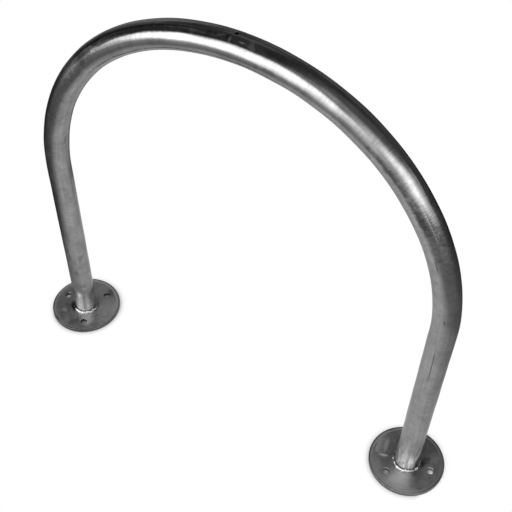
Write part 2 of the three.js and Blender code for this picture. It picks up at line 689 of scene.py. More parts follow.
    def ripples(self, along: Signal, around: Signal, blotches: Signal) -> Signal:
        """The faint wrinkles that the bender's shoe left on the right haunch.

        Args:
            along: The distance along.
            around: The angle around, in radians.
            blotches: The pattern that breaks them up.

        Returns:
            Their height, -1 to 1.
        """
        off = around - self.ripple_around
        rag = blotches.swing(self.ripple_rag_share * self.ripple_pitch)
        bowed = off * off * self.ripple_bow + along + rag
        wave = (bowed * (FULL_TURN / self.ripple_pitch)).do("SINE")
        down = abs(along - self.ripple_along)
        near = down.fade(self.ripple_core_share * self.ripple_reach, self.ripple_reach, 1.0, 0.0)
        return near * abs(off).fade(*self.ripple_sides, 1.0, 0.0) * wave

    def material(self) -> Material:
        """Mixes the finish.

        Returns:
            The material.
        """
        recipe = SurfaceRecipe("pipe_steel")
        place = recipe.step("Attribute", output="Vector", attribute_name=UNROLLED)
        lengthwise = recipe.step("Attribute", output="Vector", attribute_name=LENGTHWISE)
        outer, front, along = recipe.parts(place)
        around, run = front.do("ARCTAN2", outer), abs(along)
        scratches, teeth = self.scratches.laid(place), self.teeth.laid(place)
        clouds, blotches = self.clouds.laid(place), self.blotches.laid(place)
        tone = clouds.swing(self.clouds.tone) + self.reflectance
        tone = tone + self.streaks.laid(place).swing(self.streaks.tone)
        tone = tone + blotches.swing(self.blotches.tone) + scratches.swing(self.scratches.tone)
        rough = along.fade(*self.rougher_between, *self.roughness)
        rough = rough + clouds.swing(self.clouds.rough) + teeth.swing(self.teeth.rough)

        to_end = self.half_length - run + self.smears.laid(place).swing(self.cleaned_rag)
        end, least, most = (
            along.fade(*self.sides_change, *pair)
            for pair in (self.cleaned_ends, self.cleaned_least, self.cleaned_most)
        )
        cleaned = (to_end / end).fade(*self.cleaned_edge_shares, 1.0, 0.0)
        tone = tone + cleaned * self.runs.laid(place).fade(*self.cleaned_between, least, most)
        rough = rough + cleaned * self.cleaned_roughness

        worked = run.fade(*self.worked_from) * run.fade(*self.worked_to, 1.0, 0.0)
        speckle = worked * self.speckle.laid(place).swing(1.0)
        tone = tone * (speckle * self.speckle.tone + 1.0)
        rough = rough + speckle * self.speckle.rough
        # Stains and scuffs, and among them a few painted reflections and a painted highlight.
        for mark in self.marks:
            mask = self.mark_mask(along, around, blotches, mark)
            tone = tone * (1.0 - mask * mark.darkness)
            if mark.darkness < 0:
                rough = rough - mask * (self.scuff_roughness * mark.darkness)

        heights = [
            (scratches, self.scratches.depth),
            (teeth, self.teeth.depth),
            (blotches, self.blotches.depth),
            (self.ripples(along, around, blotches), self.ripple_depth),
        ]
        tint = (self.edge_tint, self.edge_tint, self.edge_tint, 1.0)
        return recipe.steel(
            tone, rough, heights, Specular_Tint=tint, Anisotropic=self.brushing, Tangent=lengthwise
        )


@dataclass(frozen=True)
class PlateMark:
    """A patch on a plate: its middle from the plate's, half its length and width, and its turn in degrees.

    A lighter patch has a darkness below 0. A scuff is how much rougher the patch is. Most patches are stains
    and scuffs; some are painted shadow and painted reflection round the pipe's foot.
    """

    x: float
    y: float
    length: float
    width: float
    turn: float
    darkness: float
    ragged: float
    scuff: float = 0.0


PLATE_TONES: dict[Side, float] = {Side.LEFT: 0.6, Side.RIGHT: 0.5}
PLATE_MARKS: dict[Side, tuple[PlateMark, ...]] = {
    Side.LEFT: (
        PlateMark(0.062, -0.012, 0.078, 0.054, -58, -0.55, 0.8),
        PlateMark(0.004, -0.056, 0.016, 0.014, 0, 0.25, 0.8),
        PlateMark(-0.020, -0.058, 0.040, 0.016, -25, -0.3, 0.7),
        # Painted shadow and dark reflection beside the left pipe's foot, partly a burn mark.
        PlateMark(-0.0215, -0.0215, 0.024, 0.0050, -45, 0.85, 0.3),
        PlateMark(0.056, -0.002, 0.007, 0.005, 0, -0.5, 0.5, 0.12),
        PlateMark(-0.034, -0.039, 0.010, 0.006, 0, -0.5, 0.7, 0.1),
        PlateMark(0.014, -0.036, 0.016, 0.008, 0, 0.3, 0.6),
        PlateMark(0.062, 0.028, 0.026, 0.003, 110, -0.5, 0.5, 0.1),
        PlateMark(0.032, 0.054, 0.016, 0.009, -30, 0.4, 0.6),
        PlateMark(-0.045, -0.030, 0.030, 0.025, -50, 0.15, 0.6),
    ),
    Side.RIGHT: (
        # Painted reflection in front of the right pipe's foot, with a little added roughness.
        PlateMark(0.004, -0.074, 0.120, 0.062, -8, -0.5, 0.8, 0.06),
        PlateMark(0.010, -0.062, 0.060, 0.026, -10, -0.25, 0.9, 0.06),
        PlateMark(-0.060, 0.006, 0.044, 0.018, 105, -0.45, 0.9),
        PlateMark(-0.046, -0.014, 0.013, 0.004, 15, -1.2, 0.4, 0.25),
        PlateMark(-0.050, 0.010, 0.024, 0.005, 100, -0.75, 1.0, 0.12),
        PlateMark(-0.063, -0.004, 0.028, 0.006, 95, -0.75, 1.0, 0.12),
        PlateMark(-0.053, -0.036, 0.034, 0.016, -60, -0.5, 0.8),
        PlateMark(0.051, 0.037, 0.026, 0.016, 40, -0.5, 0.8),
        # Painted shadow and dark reflection beside the right side of the right pipe's foot.
        PlateMark(0.033, 0.014, 0.024, 0.011, 62, 0.35, 0.3),
        PlateMark(0.032, 0.004, 0.013, 0.008, 75, 0.6, 0.3),
        PlateMark(0.060, -0.004, 0.052, 0.030, 90, -0.8, 0.6),
    ),
}


@dataclass(frozen=True)
class PlateFinish:
    """Satin mill-finished plate: cloudy scale, smears, turning marks, a dark edge, a pale line by it that is
    a painted highlight with some edge wear, and cut walls darkened by painted shade with some scale.
    """

    middle: Vector
    radius: float
    brightest: float = 0.95
    roughness: float = 0.3
    cut_scale_and_shade_tone: float = 0.2
    cut_scale_and_shade_levels: Pair = (0.6, 0.96)
    rim_width: float = 0.0045
    rim_tone: float = 0.7
    edge_highlight_and_wear: float = 0.85
    rim_shares: Pair = (0.5, 1.1)
    edge_highlight_and_wear_shares: Pair = (1.3, 2.0)
    side_shift: float = 3.0
    turning: Grain = Grain((260.0, 1.6, 1.6), swirl=0.4, tone=0.14, rough=0.08, depth=0.00002)
    clouds: Grain = Grain((34.0, 34.0, 34.0), 2.0, 4.0, 0.8, tone=0.5, rough=0.2, depth=0.0004)
    scale: Grain = Grain((150.0, 150.0, 150.0), 9.0, 3.0, tone=0.16, depth=0.00003)

    def material(self, side: Side) -> Material:
        """Mixes the finish.

        Args:
            side: The foot, whose clouds and smears differ from the other's.

        Returns:
            The material.
        """
        recipe = SurfaceRecipe(f"{side.word}_plate_steel")
        middle = (self.middle.x, self.middle.y, 0.0)
        place = recipe.step("VectorMath", {0: recipe.surface(), 1: middle}, operation="SUBTRACT")
        x, y, _ = recipe.parts(place)
        far, turn = distance(x, y), y.do("ARCTAN2", x)
        ring = recipe.step("CombineXYZ", {0: far, 1: turn.do("COSINE"), 2: turn.do("SINE")})
        turning = self.turning.laid(ring)
        clouds = self.clouds.laid(place, self.side_shift * side.value)
        scale = self.scale.laid(place)

        tone = clouds.swing(self.clouds.tone) + PLATE_TONES[side]
        tone = tone + turning.swing(self.turning.tone) + scale.swing(self.scale.tone)
        rough = clouds.swing(self.clouds.rough) + self.roughness + turning.swing(self.turning.rough)
        # Stains and scuffs, and the patches of painted shadow and painted reflection round the pipe's foot.
        for mark in PLATE_MARKS[side]:
            mask = self.mark_mask(x, y, clouds, mark)
            tone = tone * (1.0 - mask * mark.darkness)
            if mark.scuff:
                rough = rough + mask * mark.scuff
        # A darker ring at the edge, then a pale line inside it: a painted highlight of the broken edge, with
        # some edge wear.
        inward = self.radius - far + clouds.swing(self.rim_width)
        rim_at = [share * self.rim_width for share in self.rim_shares]
        edge_highlight_at = [share * self.rim_width for share in self.edge_highlight_and_wear_shares]
        rim = inward.fade(*rim_at, self.rim_tone, 1.0 + self.edge_highlight_and_wear)
        line = inward.fade(*edge_highlight_at, 0.0, self.edge_highlight_and_wear)
        tone = (tone * (rim - line)).do("MINIMUM", self.brightest)
        # Side walls and hole walls darker by their slope: painted shade and dark reflection, with some
        # cut-edge scale.
        level = abs(recipe.parts(recipe.surface("True Normal"))[2])
        tone = tone * level.fade(*self.cut_scale_and_shade_levels, self.cut_scale_and_shade_tone, 1.0)
        heights = [(scale, self.scale.depth), (clouds, self.clouds.depth), (turning, self.turning.depth)]
        return recipe.steel(tone, rough, heights)

    def mark_mask(self, x: Signal, y: Signal, clouds: Signal, mark: PlateMark) -> Signal:
        """Masks one patch.

        Args:
            x: The X from the plate's middle.
            y: The Y from the plate's middle.
            clouds: The pattern that ragged patches follow.
            mark: The patch.

        Returns:
            Its mask, 0 where there is none.
        """
        right, back = x - mark.x, y - mark.y
        ahead, aside = math.cos(math.radians(mark.turn)), math.sin(math.radians(mark.turn))
        down, across = right * ahead + back * aside, back * ahead - right * aside
        return spot(down, across, (mark.length, mark.width), mark.ragged, clouds)


@dataclass(frozen=True)
class WeldFinish:
    """Bright rippled weld metal with dark pits and soot.

    A darker stretch runs between two angles in degrees, and where they are the same there is none. Its edge
    fades over a range in radians.
    """

    middle: Vector
    tone: float = 0.5
    roughness: float = 0.2
    sooty: Pair = (0.3, 0.5)
    soot_tone: float = 0.2
    pitted: Pair = (0.34, 0.48)
    pit_tone: float = 0.4
    dark_stretch: Pair = (0.0, 0.0)
    dark_stretch_tone: float = 0.2
    dark_stretch_edge: Pair = (-0.1, 0.1)
    pits: Grain = Grain((420.0, 420.0, 420.0), 4.0, rough=0.2, depth=0.0003)
    soot: Grain = Grain((90.0, 90.0, 90.0), 1.0)

    def material(self, side: Side) -> Material:
        """Mixes the finish.

        Args:
            side: The foot.

        Returns:
            The material.
        """
        recipe = SurfaceRecipe(f"{side.word}_weld_steel")
        place = recipe.step("TexCoord", output="Object")
        x, y, _ = recipe.parts(place)
        pits = self.pits.laid(place)
        tone = self.soot.laid(place).fade(*self.sooty, self.soot_tone, 1.0)
        tone = tone * pits.fade(*self.pitted, self.pit_tone, 1.0) * self.tone
        # Darkens the weld between the two angles.
        start, end = (math.radians(angle) for angle in self.dark_stretch)
        if end > start:
            turn = y.do("ARCTAN2", x - self.middle.x)
            beyond = abs(turn - (start + end) / 2) - (end - start) / 2
            tone = tone * beyond.fade(*self.dark_stretch_edge, self.dark_stretch_tone, 1.0)
        rough = pits.swing(self.pits.rough) + self.roughness
        return recipe.steel(tone, rough, [(pits, self.pits.depth)])


@dataclass
class HoopPipe:
    """The hoop itself: one length of pipe, bent, with an open bore and a vent at the top of the crown."""

    wall: float = 0.00368
    vent_diameter: float = 0.00635
    vent_burr: float = 0.0004
    vent_sides: int = 48
    sides: int = 112
    bore_sides: int = 56
    station_gap: float = 0.0055
    crease: float = 35.0
    waviness: float = 0.00007
    wave_counts: tuple[int, ...] = (0, 1, 1, 2, 2, 3, 3, 4)
    wave_lengths: Pair = (0.07, 0.26)
    wave_phases: Pair = (0, 6.3)
    seed: int = 11
    radius: float = field(init=False)
    route: PipeRoute = field(init=False)

    def __post_init__(self) -> None:
        """Takes the pipe's radius and feet from the CAD nodes."""
        self.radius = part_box("hoop_tube")[1].y
        plate_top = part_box("right_base_flange")[1].z
        self.route = PipeRoute(foot_x=middle_of("right_base_flange").x, foot_z=plate_top)

    def swell(self, along: np.ndarray, around: np.ndarray) -> np.ndarray:
        """The pipe's slight unevenness from rolling and bending.

        Args:
            along: Distances along.
            around: Angles around.

        Returns:
            How far the surface stands proud of a true pipe at each.
        """
        chance = random.Random(self.seed)
        total = np.zeros(np.broadcast(along, around).shape)
        for count in self.wave_counts:
            length = chance.uniform(*self.wave_lengths)
            down = np.cos(FULL_TURN * along / length + chance.uniform(*self.wave_phases))
            total += down * np.cos(count * around + chance.uniform(*self.wave_phases))
        return self.waviness * total

    def skin(self, stations: np.ndarray, radius: float, sides: int, wavy: bool) -> np.ndarray:
        """The corners of one wall of the pipe.

        Args:
            stations: Distances along at which it has rings.
            radius: The wall's radius.
            sides: How many corners a ring has.
            wavy: Whether it is uneven.

        Returns:
            The corners, ring after ring.
        """
        centres, outer = self.route.trace(stations)
        around = FULL_TURN * np.arange(sides) / sides
        reach = np.full((len(stations), sides), radius)
        if wavy:
            reach = reach + self.swell(stations[:, None], around[None, :])
        across = np.cos(around)[None, :, None] * outer[:, None, :]
        across = across + np.sin(around)[None, :, None] * np.array(FRONT)
        return (centres[:, None, :] + reach[:, :, None] * across).reshape(-1, 3)

    def tube_mesh(self) -> Mesh:
        """The pipe with its bore, before the vent is drilled.

        Its outside has two corners for each of the bore's.

        Returns:
            The mesh.
        """
        half = self.route.half_length
        stations = np.linspace(-half, half, 2 * round(half / self.station_gap) + 1)
        outside = self.skin(stations, self.radius, self.sides, True)
        bore = self.skin(stations[::2], self.radius - self.wall, self.bore_sides, False)
        first = len(outside)
        faces = ring_faces(len(stations), self.sides)
        faces += ring_faces(len(stations[::2]), self.bore_sides, first, True)
        last_bore = first + len(bore) - self.bore_sides
        for ring, bore_ring, turned_over in ((0, first, True), (first - self.sides, last_bore, False)):
            for i in range(self.bore_sides):
                rim = [ring + (2 * i + k) % self.sides for k in range(3)]
                face = (*rim, bore_ring + (i + 1) % self.bore_sides, bore_ring + i)
                faces.append(face[::-1] if turned_over else face)
        return new_mesh("bent_pipe", np.concatenate([outside, bore]), faces)

    def vent_drill(self) -> Thing:
        """A drill with a slightly wider mouth, which stands in the crown's upper wall.

        Returns:
            The drill.
        """
        top = self.route.crown_z + self.route.crown_radius + self.radius
        hole, burr = self.vent_diameter / 2, self.vent_burr
        profile = [
            (hole, top - 2 * self.wall),
            (hole, top - burr),
            (hole + burr, top),
            (hole + 2 * burr, top + burr),
        ]
        return new_object("vent_drill", turned("vent_drill", profile, self.vent_sides))

    def build(self) -> Thing:
        """Makes the pipe, in place of its CAD node, and notes on it which way its surface runs.

        Returns:
            The pipe.
        """
        pipe = new_object("bent_pipe", self.tube_mesh())
        drilled(pipe, [self.vent_drill()])
        mesh = pipe.data
        round_off(mesh, self.crease)
        corners = np.empty(len(mesh.vertices) * 3)
        mesh.vertices.foreach_get("co", corners)
        straight = self.route.unroll(corners.reshape(-1, 3))
        lengthwise = np.cross(self.route.trace(straight[:, 2])[1], np.array(FRONT))
        for name, rows in ((UNROLLED, straight), (LENGTHWISE, lengthwise)):
            noted = mesh.attributes.new(name, "FLOAT_VECTOR", "POINT")
            noted.data.foreach_set("vector", rows.ravel())
        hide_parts("hoop_tube")
        return pipe

    def dress(self, pipe: Thing) -> None:
        """Gives the pipe its finish.

        Args:
            pipe: The pipe.
        """
        finish = PipeFinish(pipe_radius=self.radius, half_length=self.route.half_length)
        pipe.data.materials.append(finish.material())
        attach(pipe, BODY)


@dataclass
class FootPlate:
    """A round base flange with a broken edge, three bolt holes and a drain under the pipe."""

    side: Side
    edge_round: float = 0.0009
    edge_steps: int = 4
    sides: int = 192
    bolt_count: int = 3
    bolt_circle: float = 0.104
    bolt_hole: float = 0.0143
    drain: float = 0.0254
    hole_break: float = 0.0005
    hole_sides: int = 64
    overrun: float = 0.003
    crease: float = 35.0
    middle: Vector = field(init=False)
    radius: float = field(init=False)
    bottom: float = field(init=False)
    top: float = field(init=False)

    def __post_init__(self) -> None:
        """Takes the plate's size and place from its CAD node."""
        lowest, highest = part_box(self.node)
        self.middle = middle_of(self.node)
        self.radius = (highest.x - lowest.x) / 2
        self.bottom, self.top = lowest.z, highest.z

    @property
    def node(self) -> str:
        """The CAD node that the plate replaces."""
        return f"{self.side.word}_base_flange"

    def hole_drill(self, name: str, diameter: float, off: float = 0.0, turn: float = 0.0) -> Thing:
        """A drill that goes right through and breaks both edges of its hole.

        Args:
            name: The drill's name.
            diameter: The hole's diameter.
            off: How far the hole is from the plate's middle.
            turn: In which direction, in radians from +X.

        Returns:
            The drill.
        """
        radius, bevel, reach = diameter / 2, self.hole_break, self.overrun
        profile = [
            (radius + bevel + reach, self.bottom - reach),
            (radius, self.bottom + bevel),
            (radius, self.top - bevel),
            (radius + bevel + reach, self.top + reach),
        ]
        drill = new_object(name, turned(name, profile, self.hole_sides))
        drill.location = (self.middle.x + off * math.cos(turn), self.middle.y + off * math.sin(turn), 0)
        return drill

    def build(self) -> Thing:
        """Makes the plate, in place of its CAD node.

        Returns:
            The plate.
        """
        edge = self.edge_round
        turns = [math.pi / 2 * i / self.edge_steps for i in range(self.edge_steps + 1)]
        inset = self.radius - edge
        profile = [(inset + edge * math.sin(t), self.bottom + edge * (1 - math.cos(t))) for t in turns]
        profile += [(inset + edge * math.cos(t), self.top - edge * (1 - math.sin(t))) for t in turns]
        name = f"{self.side.word}_foot_plate"
        mesh = turned(name, profile, self.sides)
        mesh.transform(Matrix.Translation((self.middle.x, self.middle.y, 0)))
        plate = new_object(name, mesh)
        drills = [self.hole_drill("drain_drill", self.drain)]
        start = 0.0 if self.side is Side.RIGHT else math.pi
        for i in range(self.bolt_count):
            turn = start + FULL_TURN * i / self.bolt_count
            drills.append(self.hole_drill(f"bolt_drill_{i}", self.bolt_hole, self.bolt_circle / 2, turn))
        bpy.context.view_layer.update()
        drilled(plate, drills)
        round_off(plate.data, self.crease)
        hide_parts(self.node)
        return plate

    def dress(self, plate: Thing) -> None:
        """Gives the plate its finish.

        Args:
            plate: The plate.
        """
        finish = PlateFinish(middle=self.middle, radius=self.radius)
        plate.data.materials.append(finish.material(self.side))
        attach(plate, BODY)


@dataclass
class FootWeld:
    """The fillet weld round the foot of the pipe, run in overlapping ripples with an uneven toe.

    A wander is a smooth noise round the foot, and its draw says which one it is.
    """

    side: Side
    pipe_radius: float
    width: float = 0.0058
    height: float = 0.0058
    bite: float = 0.0003
    crown: float = 0.0021
    ripple_count: int = 34
    ripple_depth: float = 0.00025
    ripple_sweep: float = 0.45
    ripple_blunt: float = 0.7
    ripple_onset: float = 2.5
    ripple_sway: float = 1.2
    sway_pitch: float = 3.0
    sway_draw: float = 17.0
    toe_wander: float = 0.0011
    toe_pitch: float = 5.0
    toe_draw: float = 0.0
    top_draw: float = 9.0
    lump: float = 0.0007
    lump_pitch: float = 7.0
    lump_draw: float = 4.0
    stations: int = 544
    face_steps: int = 14
    crease: float = 60.0
    seed: int = 5

    @property
    def node(self) -> str:
        """The CAD node that the weld replaces."""
        return f"{self.side.word}_weld_bead"

    def wander(self, turn: float, pitch: float, draw: float) -> float:
        """A smooth closed wander round the foot.

        Args:
            turn: The angle round the foot.
            pitch: How many wanders fit in one radian.
            draw: Which wander it is.

        Returns:
            A number that is mostly from -0.7 to 0.7.
        """
        shift = draw + self.side.value * self.seed
        return noise.noise(Vector((math.cos(turn) * pitch, math.sin(turn) * pitch, shift)))

    def face_point(self, turn: float, share: float) -> Pair:
        """A point on the weld's face.

        Args:
            turn: The angle round the foot.
            share: How far up the face it is, from 0 at the toe on the plate to 1 at the pipe.

        Returns:
            Its radius and its height over the plate.
        """
        toe = self.width + self.toe_wander * self.wander(turn, self.toe_pitch, self.toe_draw)
        top = self.height + self.toe_wander * self.wander(turn, self.toe_pitch, self.top_draw)
        swell = math.sin(math.pi * share)
        phase = self.ripple_count * turn - FULL_TURN * self.ripple_sweep * swell
        phase += self.ripple_sway * self.wander(turn, self.sway_pitch, self.sway_draw)
        wave = 1 - abs(math.sin(phase / 2)) ** self.ripple_blunt * 2
        lift = self.crown * swell + self.ripple_depth * wave * min(1.0, self.ripple_onset * swell)
        lift += self.lump * self.wander(turn, self.lump_pitch, self.lump_draw + share) * swell
        slope = math.hypot(toe, top)
        radius = self.pipe_radius + toe * (1 - share) + lift * top / slope
        return radius, top * share + lift * toe / slope

    def outline(self, turn: float) -> list[Pair]:
        """The weld's section: up its face, with both ends bitten in, and back down inside the pipe's wall.

        Args:
            turn: The angle round the foot.

        Returns:
            The radius and the height over the plate of each corner.
        """
        face = [self.face_point(turn, k / self.face_steps) for k in range(self.face_steps + 1)]
        inner = self.pipe_radius - self.bite
        return [(face[0][0], -self.bite), *face[1:-1], (inner, face[-1][1]), (inner, -self.bite)]

    def build(self) -> Thing:
        """Makes the weld, in place of its CAD node.

        Returns:
            The weld.
        """
        middle, seat = middle_of(self.node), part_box(self.node)[0].z
        points, faces = [], []
        ring = self.face_steps + 2
        for i in range(self.stations):
            turn = FULL_TURN * i / self.stations
            for radius, height in self.outline(turn):
                x, y = middle.x + radius * math.cos(turn), middle.y + radius * math.sin(turn)
                points.append((x, y, seat + height))
            start, after = i * ring, (i + 1) % self.stations * ring
            for k in range(ring):
                up = (k + 1) % ring
                faces.append((start + k, after + k, after + up, start + up))
        name = f"{self.side.word}_foot_weld"
        weld = new_object(name, new_mesh(name, points, faces))
        round_off(weld.data, self.crease)
        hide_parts(self.node)
        return weld

    def dress(self, weld: Thing) -> None:
        """Gives the weld its finish. The left one is sootier and darker over a stretch from its left round to
        its front.

        Args:
            weld: The weld.
        """
        finish = WeldFinish(middle_of(self.node))
        if self.side is Side.LEFT:
            finish = WeldFinish(middle_of(self.node), sooty=(0.34, 0.46), dark_stretch=(-175.0, -112.0))
        weld.data.materials.append(finish.material(self.side))
        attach(weld, BODY)


@dataclass
class Softbox:
    """A large soft lamp that stands off to one side and faces the rack.

    Its azimuth and its roll are in degrees. Its light fades near its two sides and its two ends, over the
    given shares of its width and height.
    """

    name: str
    azimuth: float
    distance: float
    width: float
    bottom: float
    top: float
    radiance: float
    soft_sides: Pair
    soft_ends: Pair
    roll: float = 0.0

    def soften(self, light: bpy.types.AreaLight) -> None:
        """Fades the light out towards the lamp's edges.

        Args:
            light: The lamp's light.
        """
        light.use_nodes = True
        recipe = Recipe(light.node_tree)
        level: Feed = 1.0
        shares = recipe.parts(recipe.surface("Parametric"))
        for share, (low, high) in zip(shares, (self.soft_sides, self.soft_ends)):
            level = share.fade(0.0, low) * level * share.fade(1.0 - high, 1.0, 1.0, 0.0)
        recipe.node("OutputLight", {"Surface": recipe.step("Emission", {"Strength": level})})

    def build(self) -> Thing:
        """Hangs the lamp.

        Returns:
            The lamp.
        """
        height = self.top - self.bottom
        lamp = new_lamp(self.name, self.width, height, self.radiance * math.pi * self.width * height)
        self.soften(lamp.data)
        bearing = math.radians(self.azimuth)
        away = Vector((math.cos(bearing), math.sin(bearing), 0))
        lamp.location = away * self.distance + Vector((0, 0, (self.bottom + self.top) / 2))
        facing = away.to_track_quat("Z", "Y").to_matrix() @ Matrix.Rotation(math.radians(self.roll), 3, "Z")
        lamp.rotation_euler = facing.to_euler()
        return lamp


MAIN_SOFTBOX = Softbox(
    name="main_softbox",
    azimuth=-109,
    distance=4.2,
    width=10.3,
    bottom=-0.95,
    top=5.35,
    radiance=3.6,
    soft_sides=(0.34, 0.29),
    soft_ends=(0.5, 0.37),
    roll=37.5,
)
SIDE_SOFTBOX = Softbox(
    name="side_softbox",
    azimuth=-28,
    distance=4.2,
    width=7.0,
    bottom=-0.6,
    top=4.4,
    radiance=3.7,
    soft_sides=(0.54, 0.7),
    soft_ends=(0.5, 0.5),
)


@dataclass(frozen=True)
class Glow:
    """A soft glow in the canopy, placed and sized in degrees.

    It is full inside its inner radius and ends at its outer one.
    """

    azimuth: float
    elevation: float
    inner: float
    outer: float
    strength: float


@dataclass
class Studio:
    """The pale floor and background, the soft lamps, and the dark cards, mat and canopy round the rack.

    A card's span is its first and last bearing, its bottom and its top. Tones go by bearing in degrees.
    Shares are of the plate's radius. The mat's middle is a place, and every other pair is where a fade
    starts and ends, or the two values that it runs between.
    """

    floor_reach: float = 30.0
    floor_drop: float = 0.0004
    floor_tone: float = 0.85
    inner_shade: Pair = (0.2, 0.3)
    outer_shade: Pair = (0.4, 0.85)
    shade_side_shares: Pair = (0.6, 0.74)
    shade_edge_shares: Pair = (0.9, 1.2)
    white_edge_shares: Pair = (0.83, 1.3)
    room_light: float = 0.2
    overhead_size: float = 5.0
    overhead_height: float = 4.5
    overhead_power: float = 200.0
    canopy_tone: float = 0.075
    canopy_radius: float = 14.0
    canopy_middle: float = 0.7
    canopy_hem: float = math.radians(12)
    canopy_sides: int = 72
    canopy_levels: int = 18
    pale_below: float = math.radians(19.5)
    dark_above: float = math.radians(28)
    glows: tuple[Glow, ...] = (
        Glow(-62, 42, 12, 38, 0.5),
        Glow(118, 48, 6, 20, 0.2),
        Glow(-8, 54, 14, 48, 0.18),
        Glow(-160, 42, 6, 24, 0.14),
    )
    card_radius: float = 3.6
    card_step: float = 4.0
    card_spans: tuple[tuple[float, float, float, float], ...] = (
        (24, 208, 0.0, 2.4),
        (14, 24, 0.0, 1.4),
        (-38, 14, 0.0, 0.8),
        (158, 208, 2.4, 5.2),
    )
    mat_rise: float = 0.0006
    mat_middle: Pair = (0.1, -0.16)
    mat_opening: Pair = (0.34, 0.86)
    mat_back: Pair = (-0.2, 0.6)
    mat_back_cover: Pair = (0.08, 0.35)
    mat_slant: Pair = (-0.46, -0.41)
    mat_slant_least: float = 0.2
    mat_slant_front: Pair = (-0.3, -0.2)
    mat_slant_back: Pair = (0.3, 0.6)
    mat_slant_right: Pair = (-0.25, 0.0)
    near_to_far: Pair = (1.0, 2.0)
    far_to_outer: Pair = (2.0, 3.2)
    outer_gain: float = 2.5
    near_tones: Tones = (
        (-180, 0.08), (-165, 0.12), (-150, 0.18), (-140, 0.26), (-125, 0.36), (-110, 0.52), (-90, 0.5),
        (-60, 0.35), (0, 0.29), (30, 0.18), (60, 0.04), (120, 0.02), (180, 0.08),
    )
    far_tones: Tones = (
        (-180, 0.04), (-160, 0.24), (-143, 0.34), (-125, 0.68), (-100, 0.72), (-80, 0.48), (-60, 0.28),
        (0, 0.2), (25, 0.12), (50, 0.05), (80, 0.015), (105, 0.04), (120, 0.13), (140, 0.33), (160, 0.13),
        (172, 0.04),
    )
    outer_tones: Tones = (
        (-180, 0.02), (-160, 0.12), (-142, 0.5), (-122, 0.8), (-100, 0.5), (-80, 0.28), (-60, 0.18),
        (-20, 0.11), (20, 0.05), (60, 0.015), (95, 0.01), (120, 0.05), (140, 0.13), (160, 0.05),
    )
    card_tones: Tones = (
        (-60, 0.3), (0, 0.19), (25, 0.13), (50, 0.1), (80, 0.15), (100, 0.18), (120, 0.22), (140, 0.42),
        (160, 0.13), (172, 0.04),
    )
    foot_x: float = field(init=False)
    plate_radius: float = field(init=False)

    def __post_init__(self) -> None:
        """Takes the feet from the CAD nodes."""
        lowest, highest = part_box("right_base_flange")
        self.foot_x = (lowest.x + highest.x) / 2
        self.plate_radius = (highest.x - lowest.x) / 2

    def seen_share(self, recipe: Recipe) -> Signal:
        """Tells what is seen from the light that falls on things.

        Args:
            recipe: The recipe to add to.

        Returns:
            1 for what the camera, polished metal and glass see, and 0 for light that falls on things.
        """
        rays = ("Is Camera Ray", "Is Glossy Ray", "Is Transmission Ray")
        camera, glossy, transmission = (recipe.step("LightPath", output=ray) for ray in rays)
        return camera.do("MAXIMUM", glossy).do("MAXIMUM", transmission)

    def from_foot(self, shares: Pair) -> list[float]:
        """Distances from a foot, as shares of the plate's radius."""
        return [share * self.plate_radius for share in shares]

    def floor_material(self) -> Material:
        """Pale floor that stays white away from the rack and takes the shadow of its feet, with painted
        shadow in its colour under and round the plates.

        Returns:
            The material.
        """
        recipe = SurfaceRecipe("pale_floor")
        x, y, _ = recipe.parts(recipe.surface())
        to_foot = abs(x) - self.foot_x
        far = distance(to_foot, y)
        # Painted shadow: the floor's colour darkens under and just round the plates, less under their outer
        # holes, least on the right.
        inner = x.fade(-self.foot_x, self.foot_x, *self.inner_shade)
        outer = x.fade(-self.foot_x, self.foot_x, *self.outer_shade)
        shade = to_foot.fade(*self.from_foot(self.shade_side_shares), inner, outer)
        shade = far.fade(*self.from_foot(self.shade_edge_shares), shade, self.floor_tone)
        white = far.fade(*self.from_foot(self.white_edge_shares)) * self.seen_share(recipe)
        pale = recipe.step("BsdfDiffuse", {"Color": recipe.grey(shade)})
        mixed = recipe.step("MixShader", {0: white, 1: pale, 2: recipe.step("Emission")})
        return recipe.finish(mixed, lights=False)

    def build_floor(self) -> None:
        """Lays the floor."""
        floor = level_sheet("studio_floor", self.floor_reach, -self.floor_drop)
        floor.data.materials.append(self.floor_material())

    def tone_by_bearing(self, recipe: SurfaceRecipe, tones: Tones) -> Signal:
        """A tone that depends on the bearing from the rack.

        Args:
            recipe: The recipe to add to.
            tones: Bearings in degrees, each with its tone.

        Returns:
            The tone here.
        """
        x, y, _ = recipe.parts(recipe.surface())
        ramp = recipe.node("ValToRGB", {0: y.do("ARCTAN2", x) * (1 / FULL_TURN) + 0.5})
        stops = ramp.color_ramp.elements
        while len(stops) < len(tones):
            stops.new(1.0)
        for stop, (azimuth, tone) in zip(stops, tones):
            stop.position = azimuth / 360 + 0.5
            stop.color = (tone, tone, tone, 1.0)
        return Signal(recipe, ramp.outputs[0])

    def show_to_metal(self, thing: Thing, material: Material) -> None:
        """Dresses a thing that only reflections show, hidden from the camera and the light on things."""
        thing.data.materials.append(material)
        thing.visible_camera = thing.visible_shadow = thing.visible_diffuse = False

    def card_material(self) -> Material:
        """Dark card, even from top to bottom.

        Returns:
            The material.
        """
        recipe = SurfaceRecipe("dark_card")
        tone = self.tone_by_bearing(recipe, self.card_tones)
        return recipe.finish(recipe.step("Emission", {"Color": tone}), lights=False)

